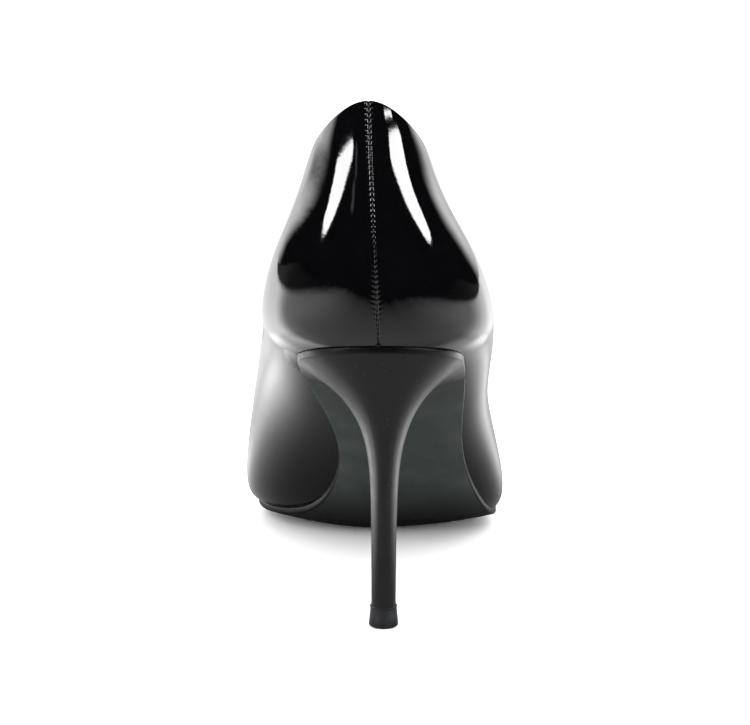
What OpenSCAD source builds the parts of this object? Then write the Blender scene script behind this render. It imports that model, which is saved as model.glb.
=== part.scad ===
// High heel pump, right foot, built as separate pieces from lasted upper to top piece.
// Millimetres. +Z is up, +Y runs from the heel to the toe and +X is the outer side of the foot.
// The origin is the centre of the top piece's tread, where the heel tip stands on the ground.

/* [Upper and lining] */
// Thickness of the patent leather upper
upper_t = 1.2; // [0.9:0.1:1.3]
// Thickness of the seam and topline tapes
tape_t = 0.2; // [0.1:0.05:0.2]
// Thickness of the heel counter and of the toe puff
stiffener_t = 0.75; // [0.5:0.05:0.75]
// Thickness of the woven backing of the upper
backing_t = 0.35; // [0.2:0.05:0.6]
// Thickness of the leather lining
lining_t = 0.8; // [0.5:0.1:0.9]
// Width of the lasting margin turned under the insole
margin_w = 11; // [8:1:12]
// Widths of the last against the standard fitting
fitting = 1; // [0.96:0.01:1.06]

/* [Sole] */
// Thickness of the outsole
outsole_t = 2.2; // [1.8:0.1:2.6]
// Thickness of the insole board
insole_t = 1.0; // [0.8:0.1:1.0]
// Thickness of the stiff shank board behind the ball
shank_board_t = 0.9; // [0.8:0.1:1.2]
// Thickness of the foam under the heel
heel_pad_t = 1.2; // [0.8:0.1:2]
// Thickness of the foam under the ball
ball_pad_t = 1.6; // [0.8:0.1:2]
// Thickness of the sock lining
sock_t = 0.7; // [0.5:0.1:1]
// Thickness of the steel shank
shank_t = 1.1; // [0.9:0.1:1.2]
// Width of the steel shank
shank_w = 9; // [7:1:9]

/* [Heel] */
// Height of the top piece
top_piece_h = 6.5; // [5:0.5:8]
// Radius of the top piece at its tread
top_piece_r = 4.4; // [4:0.1:5]
// Thickness of the wrap round the heel block
cover_t = 0.55; // [0.4:0.05:0.6]
// Outer radius of the steel tube that stiffens the stiletto
heel_pin_r = 1.75; // [1.6:0.05:1.8]
// Top of that tube above the ground
heel_pin_top = 66; // [55:1:67]
// Distance of the heel breast in front of the heel tip
breast_y = 22; // [20:1:24]

/* [Fasteners and stitches] */
// Length of one stitch of the back seam with its gap
stitch_pitch = 1.5; // [1.2:0.1:2.5]
// Radius of the sewing thread
thread_r = 0.24; // [0.15:0.01:0.3]
// Radius of the heel screw's shank
screw_r = 2; // [1.5:0.1:2.2]
// Depth of the heel screw in the heel block
screw_depth = 11; // [8:1:12]
// Radius of the heel nails
nail_r = 0.8; // [0.6:0.1:0.9]
// Depth of the heel nails in the heel block
nail_depth = 5; // [4:1:6]

/* [Lines of the last] */
// The lines are uniform B-splines. Their ordinates stand 20 mm apart, from 40 mm behind the heel tip.
// Height of the feather edge, where the upper meets the outsole
seat_z = [95.5, 89, 82.5, 74.5, 62.5, 46, 28.5, 9.1, 5.2, 5.7, 6.6, 8.7, 11.5, 15.2, 20.2]; // [0:100]
// Height of the last's ridge, the line along its top
ridge_z = [186, 170.5, 151.5, 137, 125, 112, 95.5, 77.5, 60, 46, 35.5, 28, 21.5, 16.5, 12]; // [0:200]
// Height of the topline, where the upper is cut for the foot
top_z = [181, 152, 138, 122, 106.5, 93, 80.5, 68.5, 58.5, 51.5, 48, 46, 44, 42, 40]; // [30:200]
// Sideways place of the centre line
mid_x = [-1.5, -1.5, -1.2, -1, -1.4, -2.6, -3.8, -3.8, -3.6, -4.2, -5.2, -6.2, -7, -7.6, -8]; // [-10:10]
// Half width of the sole on the inner side, with the deep cut of the waist
sole_in = [24, 24, 24, 23.5, 19, 11.5, 9.5, 18, 36, 42, 41.5, 39, 37, 35, 34]; // [8:45]
// Half width of the sole on the outer side
sole_out = [24.5, 24.5, 24.5, 25.5, 26, 26.5, 29.5, 37.5, 43, 43, 41, 38.5, 36.5, 35, 34]; // [20:45]
// Half width of the body on the inner side
body_in = [36, 36.5, 37, 38, 41, 46.5, 46.5, 44.6, 43.5, 42.5, 41, 39.5, 38, 37, 36]; // [30:50]
// Half width of the body on the outer side
body_out = [36.5, 36.5, 37, 37.5, 38, 38.5, 41.7, 44.8, 44.6, 43.8, 41.5, 39.5, 38, 37, 36]; // [30:50]
// Fullness of a cross section: 1 is a steep roof, 2 is an ellipse
fullness = [1.3, 1.3, 1.3, 1.3, 1.28, 1.3, 1.4, 1.6, 1.8, 1.95, 2.05, 2.1, 2.1, 2.1, 2.1]; // [1:2.2]
// Share of the height in which the body swells out from the sole, inner side
swell_in = [.07, .07, .07, .08, .13, .2, .18, .09, .05, .05, .06, .07, .08, .08, .08]; // [0.05:0.2]
// Share of the height in which the body swells out from the sole, outer side
swell_out = [.07, .07, .07, .07, .08, .09, .08, .06, .05, .05, .06, .07, .08, .08, .08]; // [0.05:0.1]
// Lean of the cross section towards the inner side
lean = [.04, .042, .046, .046, .042, .034, .022, .01, .003, 0, 0, 0, 0, 0, 0]; // [0:0.06]
// How far the body draws in below the topline, as a share of its width, inner side
pinch_in = [.09, .09, .09, .08, .05, .02, 0, 0, 0, 0, 0, 0, 0, 0, 0]; // [0:0.15]
// How far the body draws in below the topline, as a share of its width, outer side
pinch_out = [.13, .13, .13, .12, .08, .03, 0, 0, 0, 0, 0, 0, 0, 0, 0]; // [0:0.15]
// Sag of the bottom below the feather edge, along its middle
crown = [0, 0, 0, 0, 0.5, 2, 3.4, 4.3, 4.6, 4.4, 4, 3.5, 3, 2.5, 2]; // [0:5]

/* [Lines of the heel] */
// Ordinates stand 8 mm apart down the heel, from 8 mm above its seat.
// Half width of the heel
heel_half_w = [33, 25.5, 14, 7.9, 5.2, 4.1, 3.7, 3.5, 3.4, 3.38, 3.35, 3.35, 3.35]; // [3:35]
// Distance from the heel tip's axis to the back of the heel
heel_back = [32.5, 25.9, 18.5, 14, 11.4, 9.5, 8, 6.8, 5.8, 5, 4.4, 4, 4]; // [4:35]
// Distance from the heel tip's axis to the breast of the heel
heel_front = [29.5, 22.3, 14.5, 10.4, 7.4, 5.6, 4.7, 4.3, 4.1, 4, 3.9, 3.8, 3.8]; // [3:30]

/* [Hidden] */
$fn = 32;

// Stations of the last's lines
station_pitch = 20;
first_station = -40;
// The rounded back of the sole, and how square it is
back_len = 26;
back_power = 2.5;
// The tip of the toe, its radius in plan, the spread of its sides and the length of its cap
toe_y = 204;
toe_r = 4;
toe_spread = 0.55;
toe_cap = 30;
// Where the sides draw in below the topline, and over how much of the height
pinch_at = 0.65;
pinch_spread = 0.2;
blend_power = 6;

// Columns of the surface: round the back, along the open side, and over the closed toe
back_cols = 8;
side_cols = 21;
toe_cols = 14;
throat_col = back_cols + side_cols;
tip_col = throat_col + toe_cols;
// The columns at which the inner pieces begin and end
counter_end = back_cols + 6;
quarter_end = back_cols + 9;
puff_start = throat_col + 5;
lining_end = tip_col - 3;
// Rows of the surface, as shares of the way from the feather edge to the topline or ridge
wall_rows = [0, 0.08, 0.18, 0.29, 0.4, 0.51, 0.62, 0.74, 0.86, 0.94, 1];
// Height above the feather edge of the lowest wall row
wall_foot = 3.4;
// Points across a bottom plate, as shares of its width
plate_shares = [0, 0.15, 0.38, 0.62, 0.85, 1];

// Gap between two pieces that lie against each other, on the walls and on the curved bottom
gap = 0.05;
bottom_gap = 0.12;
// Depths of the layers under the outer surface
tape_out = upper_t + 0.02;
stiff_out = tape_out + tape_t + 0.03;
lining_out = stiff_out + stiffener_t + gap;
lining_in = lining_out + lining_t;
// Height shares of the tapes and stiffeners
stiff_top = 0.86;
tape_low = 0.89;
tape_top = 0.96;
// Heights of the bottom pieces above the feather edge
board_low = upper_t + lining_t + 2*bottom_gap;
board_top = board_low + insole_t;
shank_top = board_low - bottom_gap;
board_inset = lining_in + 0.6;
// The bottom pieces' ends along the shoe
shank_start = -6;
shank_end = 88;
shank_x = -0.5;
filler_start = 97;
ball_start = 102;
ball_end = 150;
heel_pad_end = 38;
fade = 8;

// Heel: the height of its seat at the tip's axis, and the lines' pitch
heel_pitch = 8;
heel_top = seat(0) - outsole_t - bottom_gap;
heel_len = heel_top - top_piece_h - gap;
heel_levels = 20;
heel_side_pts = 9;
heel_breast_pts = 6;
breast_hollow = 2.5;
seat_inset = 0.3;
// Depth at which a heel section has turned from the sole's outline to an oval, and has come level
oval_depth = 24;
level_depth = 40;

// ---- the last's surface ----

// Value at x of a uniform cubic B-spline whose ordinates start at first and stand pitch apart.
function b_spline(row, x, first, pitch) =
    let (u = (x - first)/pitch, i = max(1, min(len(row) - 3, floor(u))), f = u - i)
    (pow(1 - f, 3)*row[i - 1] + (3*pow(f, 3) - 6*f*f + 4)*row[i]
        + (-3*pow(f, 3) + 3*f*f + 3*f + 1)*row[i + 1] + pow(f, 3)*row[i + 2])/6;
function line_at(row, s) = b_spline(row, s, first_station, station_pitch);
function seat(s) = line_at(seat_z, s);
function seat_slope(s) = seat(s + 0.5) - seat(s - 0.5);
function soft_min(a, b) = pow(pow(a, -blend_power) + pow(b, -blend_power), -1/blend_power);
function mix(a, b, share) = a + (b - a)*share;
function smooth(x) = let (c = max(0, min(1, x))) c*c*(3 - 2*c);

// Height of the last above the feather edge.
function vault(s) = (line_at(ridge_z, s) - seat(s))*sqrt(1 - pow(max(0, 1 - (toe_y - s)/toe_cap), 2.5));
// Share of that height at which the topline cuts the upper.
function cut_share(s) = s >= throat ? 1 : min(1, (line_at(top_z, s) - seat(s))/vault(s));
// The throat is where the topline meets the ridge.
function find_throat(low, high, steps) = let (m = (low + high)/2)
    steps == 0 ? m : line_at(top_z, m) < line_at(ridge_z, m) ? find_throat(m, high, steps - 1)
        : find_throat(low, m, steps - 1);
throat = find_throat(60, 170, 24);

// Half width of the toe, a hyperbola with a round tip.
function toe_half_w(s) = let (d = max(0, toe_y - s)) sqrt(2*toe_r*d + pow(toe_spread*d, 2));
function sole_half_w(s, side) = soft_min(line_at(side < 0 ? sole_in : sole_out, s)*fitting, toe_half_w(s));
function body_half_w(s, side) = soft_min(line_at(side < 0 ? body_in : body_out, s)*fitting,
    1.03*toe_half_w(s) + 1 - exp((s - toe_y)/8));
// How far the back of the heel bulges behind its seat, at a share t of the height.
function back_bulge(t) = 4 + 14*t - 28*t*t - 4*exp(-t/0.07);

// Station of a column. Columns are real numbers, so that slopes can be taken between them.
function column_station(g) =
    g <= back_cols ? -back_len*cos(90*g/back_cols)
    : g <= throat_col ? throat*(1 - pow(1 - (g - back_cols)/side_cols, 1.4))
    : toe_y - (toe_y - throat)*pow((tip_col - g)/toe_cols, 2);
// Angles up a section: 0 is the feather edge and 90 is the ridge.
function foot_angle(s) = asin(min(0.7, wall_foot/max(vault(s), 0.01)));
function row_angle(s, v) = mix(foot_angle(s), asin(cut_share(s)), v);

// Point of the outer surface. side is -1 for the inner side of the foot and 1 for the outer side.
function skin(g, angle, side) =
    let (s = column_station(abs(g)), t = sin(angle), h = vault(s)*t,
        q = pow(max(0, -s/back_len), back_power),
        dir = (g < 0 ? -side : side)*(cos(angle) < 0 ? -1 : 1),
        swell = exp(-t/line_at(side < 0 ? swell_in : swell_out, s)),
        full_w = mix(body_half_w(s, side), sole_half_w(s, side), swell),
        pinch = 1 - line_at(side < 0 ? pinch_in : pinch_out, s)*exp(-pow((t - pinch_at)/pinch_spread, 2)),
        half_w = full_w*pinch*sqrt(max(0, 1 - pow(t, line_at(fullness, s))))*sqrt(max(0, 1 - q)))
    [line_at(mid_x, s) + dir*half_w - line_at(lean, s)*h, s - back_bulge(t)*q, seat(s) + h];

// Outward unit normal of that surface. The tip of the toe faces straight ahead.
function skin_normal(g, angle, side) =
    let (dg = 0.02, da = 0.5, low = angle < 1 ? angle : angle - da,
        along = skin(g + dg, angle, side) - skin(g - dg, angle, side),
        up = skin(g, angle + da, side) - skin(g, low, side), n = side*cross(along, up))
    g >= tip_col ? [0, 1, 0] : n/norm(n);

// Share by which the lining closes up to the upper along the topline.
function at_topline(g, v) = max(0, 1 - (1 - v)/0.12)*max(0, min(1, (throat_col + 2 - g)/2));
// Point of a wall, depth inside the outer surface and closed up by taper at the topline.
function wall(g, v, side, depth, taper) =
    let (a = row_angle(column_station(g), v))
    skin(g, a, side) - (depth - taper*at_topline(g, v))*skin_normal(g, a, side);
// How far the bottom sags below the feather edge at a point.
function dip(x, y) =
    let (off = x - line_at(mid_x, y), u = off/max(0.1, sole_half_w(y, off)))
    line_at(crown, y)*max(0, 1 - u*u);
// Height of the bottom at a point.
function bed(x, y) = seat(y) - dip(x, y);
// Point of the bottom: inset from the feather edge, and rise above it.
function edge(g, side, inset, rise) =
    let (p = skin(g, 0, side), n = skin_normal(g, 0, side), h = [n.x, n.y]/norm([n.x, n.y]),
        x = p.x - inset*h.x, y = p.y - inset*h.y)
    [x, y, bed(x, y) + rise];
function margin(g, side) = min(margin_w, 0.5*sole_half_w(column_station(g), side));

// ---- solids made from the surface ----

// Splits a four-sided face into triangles, and drops those that have shrunk to a line.
function split(a, b, c, d) =
    [for (f = [[a, b, c], [a, c, d]]) if (f[0] != f[1] && f[1] != f[2] && f[2] != f[0]) f];
function flip(faces, turn) = turn ? [for (f = faces) [f[2], f[1], f[0]]] : faces;
function rows_between(low, high) =
    concat([low], [for (v = wall_rows) if (v > low + 0.01 && v < high - 0.01) v], [high]);
function columns(from, to) =
    concat([from], [for (g = [0:tip_col]) if (g > from + 0.2 && g < to - 0.2) g], [to]);

// One closed cross section of a layer: up its outer face, down its inner face, and round its margin.
function section(g, side, rows, join, out, in, taper, foot) =
    let (stretch = g >= join ? 1/rows[len(rows) - 1] : 1,
        roof = vault(column_station(g)),
        low = foot[0] == undef ? 0 : min(foot[0], 0.25*roof),
        high = foot[1] == undef ? 0 : min(foot[1], 0.4*roof),
        has_foot = foot[1] != undef,
        outer = [for (v = rows) wall(g, v*stretch, side, out, taper)],
        inner = [for (i = [len(rows) - 1:-1:0]) wall(g, rows[i]*stretch, side, in, taper)],
        turn = in + margin(g, side))
    has_foot ? concat([edge(g, side, out, low)], outer, inner,
        [edge(g, side, in, high), edge(g, side, turn, high), edge(g, side, turn, low)])
    : concat(outer, inner);

// A layer of the upper from one column to another, both sides, closed over the ridge from column join.
// foot holds the two heights of the margin turned under the foot, or is empty for a plain band.
module layer(from, to, v_low, v_high, join, out, in, taper = 0, foot = []) {
    cols = columns(from, to);
    rows = rows_between(v_low, v_high);
    last = len(cols) - 1;
    rim = len(rows) + (len(foot) > 0 ? 1 : 0);
    size = len(foot) > 0 ? 2*rim + 2 : 2*rim;
    points = [for (side = [-1, 1], g = cols) each section(g, side, rows, join, out, in, taper, foot)];
    function id(k, i, j) =
        to == tip_col && i == last ? last*size + (j < rim ? 0 : rim)
        : (from == 0 && i == 0) || (cols[i] >= join && (j == rim - 1 || j == rim)) ? i*size + j
        : (k*len(cols) + i)*size + j;
    strips = [for (k = [0, 1], i = [0:last - 1], j = [0:size - 1])
        if (!(j == rim - 1 && cols[i] >= join))
            let (n = (j + 1) % size,
                a = id(k, i, j), b = id(k, i, n), c = id(k, i + 1, n), d = id(k, i + 1, j))
            each flip(j < rim || j == size - 1 ? split(a, b, c, d) : split(b, c, d, a), k == 0)];
    caps = [for (k = [0, 1], end = [from == 0 ? [] : [0], to == tip_col ? [] : [last]], i = end)
        each flip(concat(
            [for (j = [0:rim - 2]) each split(id(k, i, j), id(k, i, 2*rim - 1 - j), id(k, i, 2*rim - 2 - j),
                id(k, i, j + 1))],
            len(foot) == 0 ? []
            : split(id(k, i, 0), id(k, i, size - 1), id(k, i, size - 2), id(k, i, size - 3))),
            (k == 0) == (i == 0))];
    polyhedron(points, concat(strips, caps), convexity = 8);
}

// A plate that follows the bottom of the last between two stations. low and high are its heights above the
// bottom, as functions of y, and its edge is inset from the feather edge, plus the lasting margin when
// inside_margin is 1.
module plate(from, to, low, high, inset, inside_margin = 0) {
    cols = [for (g = columns(0.5, tip_col - 0.5))
        if (column_station(g) >= from && column_station(g) <= to) g];
    last = len(cols) - 1;
    spans = len(plate_shares) - 1;
    size = 2*spans + 2;
    function rim(g, side) = edge(g, side, inset + inside_margin*(margin(g, side) + 4*gap), 0);
    function across(g, share, level) = let (p = mix(rim(g, -1), rim(g, 1), share))
        [p.x, p.y, bed(p.x, p.y) + level(p.y)];
    points = [for (g = cols) each concat(
        [for (share = plate_shares) across(g, share, low)],
        [for (j = [spans:-1:0]) across(g, plate_shares[j], high)])];
    walls = [for (i = [0:last - 1], j = [0:size - 1]) let (a = i*size + j, b = i*size + (j + 1) % size)
        each split(a, b, b + size, a + size)];
    ends = [for (i = [0, last], j = [0:spans - 1]) let (a = i*size + j, b = i*size + size - 1 - j)
        each flip(split(a, a + 1, b - 1, b), i == 0)];
    polyhedron(points, concat(walls, ends), convexity = 6);
}

// Places its children on the bottom of the last at x and y, rise above it and square to it.
module on_seat(x, y, rise) {
    translate([x, y, bed(x, y) + rise]) rotate([atan(seat_slope(y)), 0, 0]) children();
}

// A straight run of thread from a to b.
module thread(a, b) {
    d = b - a;
    translate(a) rotate([0, acos(d.z/norm(d)), atan2(d.y, d.x)])
        cylinder(h = norm(d), r = thread_r, $fn = 16);
}

// ---- upper ----

module upper() {
    color([0.02, 0.02, 0.025])
    layer(0, tip_col, 0, 1, throat_col, 0, upper_t, 0, [0, upper_t]);
}

// Point on the back seam, h above the feather edge and clear of the leather.
function seam_point(h) = let (a = asin(h/vault(-back_len)))
    skin(0, a, 1) + (thread_r + gap)*skin_normal(0, a, 1);
module back_seam_stitching() {
    seam_low = 2.5;
    seam_high = line_at(top_z, -back_len) - seat(-back_len) - 2;
    count = floor((seam_high - seam_low)/stitch_pitch);
    stitch = 0.72*stitch_pitch;
    color([0.03, 0.03, 0.035])
    for (i = [0:count - 1]) {
        h = seam_low + i*stitch_pitch;
        thread(seam_point(h), seam_point(h + stitch));
    }
}
module back_seam_tape() {
    color([0.8, 0.8, 0.78])
    layer(0, 1, 0, stiff_top, throat_col, tape_out, tape_out + tape_t);
}
module topline_tape() {
    color([0.8, 0.8, 0.78])
    layer(0, throat_col, tape_low, tape_top, tip_col, tape_out, tape_out + tape_t);
}
module heel_counter() {
    color([0.75, 0.66, 0.5])
    layer(0, counter_end, 0, stiff_top, throat_col, stiff_out, stiff_out + stiffener_t);
}
module upper_backing() {
    color([0.85, 0.84, 0.8])
    layer(counter_end + 0.1, puff_start - 0.1, 0, stiff_top, throat_col + 2, stiff_out,
        stiff_out + backing_t);
}
module toe_puff() {
    color([0.7, 0.72, 0.75])
    layer(puff_start, lining_end, 0, stiff_top, throat_col, stiff_out, stiff_out + stiffener_t);
}

// ---- lining ----

module lining(from, to) {
    color([0.78, 0.66, 0.5])
    layer(from, to, 0, 1, throat_col, lining_out, lining_in, lining_out - tape_out,
        [upper_t + bottom_gap, upper_t + bottom_gap + lining_t]);
}
module quarter_lining() {
    lining(0, quarter_end);
}
module vamp_lining() {
    lining(quarter_end + 0.05, lining_end);
}

// ---- bottom ----

// Foam under the sock: full thickness inside a stretch of the bottom, and faded out at its ends.
function pad_share(y, from, to) = smooth((y - from)/fade)*smooth((to - y)/fade);
function board_t(y) = (shank_board_t + bottom_gap)*smooth((shank_end + 2*fade - y)/fade);
function pad_low(y) = board_top + bottom_gap + board_t(y);
function pads_t(y) = (heel_pad_t + bottom_gap)*smooth((heel_pad_end - y)/fade)
    + (ball_pad_t + bottom_gap)*pad_share(y, ball_start, ball_end);

module insole_board() {
    color([0.55, 0.42, 0.3])
    difference() {
        plate(-back_len, toe_y - 6, function (y) board_low, function (y) board_top, board_inset);
        fasteners(gap);
        shank_rivets(gap);
    }
}
module shank_board() {
    color([0.35, 0.3, 0.26])
    difference() {
        plate(-back_len + 1, shank_end + fade, function (y) board_top + bottom_gap,
            function (y) pad_low(y) - bottom_gap, board_inset);
        fasteners(gap);
        shank_rivets(gap);
    }
}
module steel_shank() {
    steps = 24;
    ys = [for (i = [0:steps]) mix(shank_start, shank_end, i/steps)];
    under = [for (y = ys) [y, bed(shank_x, y) + shank_top - shank_t]];
    over = [for (i = [steps:-1:0]) [ys[i], bed(shank_x, ys[i]) + shank_top]];
    color([0.6, 0.62, 0.65])
    difference() {
        translate([shank_x - shank_w/2, 0, 0]) rotate([90, 0, 90])
            linear_extrude(shank_w) polygon(concat(under, over));
        fasteners(gap);
        shank_rivets(gap);
    }
}
module shank_rivets(grow = 0) {
    rivet_r = 1.3;
    rivet_head_r = 2.2;
    rivet_head_t = 0.5;
    color([0.7, 0.7, 0.72])
    for (y = [22, 40]) on_seat(shank_x, y, 0) {
        // The plates' heights are upright and the rivet stands square to them.
        square = cos(atan(seat_slope(y)));
        body_low = (shank_top - shank_t)*square - 4*gap;
        body_top = board_top*square + gap;
        head_low = body_low - rivet_head_t + 2*gap - grow;
        head_top = body_top + rivet_head_t + grow;
        rotate_extrude() polygon([
            [0, head_low],
            [rivet_head_r + grow, head_low],
            [rivet_head_r + grow, body_low],
            [rivet_r + grow, body_low],
            [rivet_r + grow, body_top],
            [rivet_head_r + grow, body_top],
            [rivet_head_r + grow, head_top],
            [0, head_top]]);
    }
}
module bottom_filler() {
    color([0.6, 0.45, 0.3])
    plate(filler_start, toe_y - 16, function (y) gap, function (y) board_low - bottom_gap, lining_in, 1);
}
module heel_pad() {
    color([0.9, 0.88, 0.8])
    plate(-back_len + 2, heel_pad_end,
        function (y) pad_low(y), function (y) pad_low(y) + pads_t(y) - bottom_gap,
        board_inset + 0.5);
}
module ball_pad() {
    color([0.9, 0.88, 0.8])
    plate(ball_start, ball_end,
        function (y) pad_low(y), function (y) pad_low(y) + max(0.1, pads_t(y) - bottom_gap),
        board_inset + 3);
}
module sock_lining() {
    color([0.8, 0.68, 0.52])
    plate(-back_len, toe_y - 8, function (y) pad_low(y) + pads_t(y) + bottom_gap,
        function (y) pad_low(y) + pads_t(y) + bottom_gap + sock_t, board_inset);
}
// The ground cuts the sole off flat under the ball of the foot.
module outsole() {
    ground_t = 8;
    color([0.07, 0.08, 0.075])
    difference() {
        plate(-back_len, toe_y, function (y) -outsole_t, function (y) -2*gap, -0.15);
        translate([-2*toe_y, -2*back_len, -ground_t]) cube([4*toe_y, 3*toe_y, ground_t]);
        fasteners(gap);
    }
}

// ---- heel ----

function heel_line(row, depth) = b_spline(row, depth, -heel_pitch, heel_pitch);
// Points round the top of the heel: from the back seam along the inner side to the breast corner, across the
// breast, and back along the outer side. Each is [x, y, angle on the oval section].
function breast_col(g, side, steps) = steps == 0 ? g
    : breast_col(g + (breast_y - edge(g, side, seat_inset, 0).y)/12, side, steps - 1);
function heel_side(side) = let (end = breast_col(back_cols + 2, side, 12))
    [for (i = [0:heel_side_pts]) let (p = edge(end*i/heel_side_pts, side, seat_inset, 0))
        [p.x, p.y, -90 + side*140*i/heel_side_pts]];
heel_rim = let (inner = heel_side(-1), outer = heel_side(1),
        a = inner[heel_side_pts], b = outer[heel_side_pts])
    concat(inner,
        [for (i = [1:heel_breast_pts - 1]) let (u = i/heel_breast_pts)
            [mix(a.x, b.x, u), mix(a.y, b.y, u) - breast_hollow*4*u*(1 - u), a.z + 360 - (a.z + 360 - b.z)*u]],
        [for (i = [heel_side_pts:-1:1]) outer[i]]);
heel_mid = (heel_rim[heel_side_pts].x + heel_rim[heel_side_pts + heel_breast_pts].x)/2;

// Point i of the heel section at a depth below the seat, inset from the heel's surface.
function heel_point(i, depth, inset) =
    let (p = heel_rim[i], half_w = heel_line(heel_half_w, depth) - inset,
        back = heel_line(heel_back, depth) - inset, front = heel_line(heel_front, depth) - inset,
        oval = smooth(depth/oval_depth), level = 1 - pow(1 - min(1, depth/level_depth), 2),
        mid = mix(heel_mid, 0, smooth(depth/heel_len)),
        full = [(p.x - heel_mid)/heel_line(heel_half_w, 0), p.y < 0 ? p.y/back_len : p.y/breast_y],
        unit = [mix(full.x, cos(p.z), oval), mix(full.y, sin(p.z), oval)],
        y = unit.y*(unit.y < 0 ? back : front))
    [mid + unit.x*half_w, y, mix(seat(y) - outsole_t - bottom_gap, heel_top, level) - depth];
function heel_depth(level) = heel_len*pow(level/heel_levels, 1.6);
// All points of the heel's skin, level by level from the seat down.
function heel_points(inset) =
    [for (level = [0:heel_levels], i = [0:len(heel_rim) - 1]) heel_point(i, heel_depth(level), inset)];
function heel_walls(turn, first) =
    let (n = len(heel_rim))
    [for (level = [0:heel_levels - 1], i = [0:n - 1])
        let (a = first + level*n + i, b = first + level*n + (i + 1) % n)
        each flip(split(a, b, b + n, a + n), turn)];
// The fan that closes the heel's skin at a level.
function heel_lid(level, turn) = let (n = len(heel_rim))
    let (middle = (heel_levels + 1)*n + (level == 0 ? 0 : 1))
    flip([for (i = [0:n - 1]) [level*n + i, level*n + (i + 1) % n, middle]], turn);

module heel_block() {
    n = len(heel_rim);
    inset = cover_t + gap;
    top_mid = [heel_mid, 0, heel_top];
    bottom_mid = [0, 0, heel_top - heel_len];
    color([0.12, 0.12, 0.13])
    difference() {
        polyhedron(concat(heel_points(inset), [top_mid, bottom_mid]),
            concat(heel_walls(true, 0), heel_lid(0, false), heel_lid(heel_levels, true)), convexity = 6);
        translate([0, 0, top_piece_h]) cylinder(h = heel_pin_top + gap - top_piece_h, r = heel_pin_r + gap);
        fasteners(0);
    }
}
module heel_cover() {
    n = len(heel_rim);
    half = (heel_levels + 1)*n;
    ends = [for (level = [0, heel_levels], i = [0:n - 1])
        let (a = level*n + i, b = level*n + (i + 1) % n)
        each flip(split(a, b, b + half, a + half), level == heel_levels)];
    color([0.02, 0.02, 0.022])
    polyhedron(concat(heel_points(0), heel_points(cover_t)),
        concat(heel_walls(true, 0), heel_walls(false, half), ends), convexity = 8);
}
module heel_pin() {
    dowel_hole_r = 1.2;
    color([0.6, 0.62, 0.65])
    translate([0, 0, top_piece_h + gap])
    difference() {
        cylinder(h = heel_pin_top - top_piece_h - gap, r = heel_pin_r);
        translate([0, 0, -1]) cylinder(h = heel_pin_top, r = dowel_hole_r);
    }
}

// ---- fasteners ----

// The seats of the heel's fasteners: the screw behind the ridge of the arch, and a ring of nails round it.
screw_at = [-0.5, 1];
nails_at = [[-9.5, -8], [7.1, -8], [-9.5, 7], [7.1, 7], [-1.2, -10.5]];
fastener_rise = board_top + gap;

// A headed fastener pointing down, its head standing on the insole board.
module driven(shaft_r, head_r, head_t, depth) {
    length = fastener_rise + outsole_t + depth;
    cylinder(h = head_t, r = head_r);
    translate([0, 0, -length]) cylinder(h = length + head_t/2, r = shaft_r);
}
module heel_screw(grow = 0) {
    screw_head_r = 3.6;
    color([0.62, 0.62, 0.64])
    on_seat(screw_at.x, screw_at.y, fastener_rise - grow)
    driven(screw_r + grow, screw_head_r + grow, shank_board_t - 2*gap + 2*grow, screw_depth + 2*grow);
}
module heel_nails(grow = 0) {
    nail_head_r = 1.6;
    color([0.62, 0.62, 0.64])
    for (at = nails_at) on_seat(at.x, at.y, fastener_rise - grow)
        driven(nail_r + grow, nail_head_r + grow, shank_board_t - 2*gap + 2*grow, nail_depth + 2*grow);
}
module fasteners(grow) {
    heel_screw(grow);
    heel_nails(grow);
}

// ---- top piece ----

dowel_r = 1.15;
dowel_low = 1.5;
dowel_high = 22;
module top_piece() {
    tread_bevel = 0.5;
    neck_r = 3.85;
    color([0.05, 0.055, 0.065])
    difference() {
        rotate_extrude() polygon([[0, 0], [top_piece_r - tread_bevel, 0], [top_piece_r, tread_bevel],
            [neck_r, top_piece_h], [0, top_piece_h]]);
        translate([0, 0, dowel_low]) cylinder(h = top_piece_h, r = dowel_r);
    }
}
module top_piece_pin() {
    color([0.6, 0.62, 0.65])
    translate([0, 0, dowel_low]) cylinder(h = dowel_high - dowel_low, r = dowel_r);
}

upper();
back_seam_stitching();
back_seam_tape();
topline_tape();
upper_backing();
heel_counter();
toe_puff();
quarter_lining();
vamp_lining();
insole_board();
shank_board();
steel_shank();
shank_rivets();
bottom_filler();
heel_pad();
ball_pad();
sock_lining();
outsole();
heel_block();
heel_cover();
heel_pin();
heel_screw();
heel_nails();
top_piece();
top_piece_pin();
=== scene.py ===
"""High heel pump: the looks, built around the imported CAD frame.

The CAD solids stay as the hidden layers. The pieces that show are rebuilt here as dense meshes from the
same lines of the last, in millimetres, and are turned into metres when each mesh is made.
"""

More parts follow.
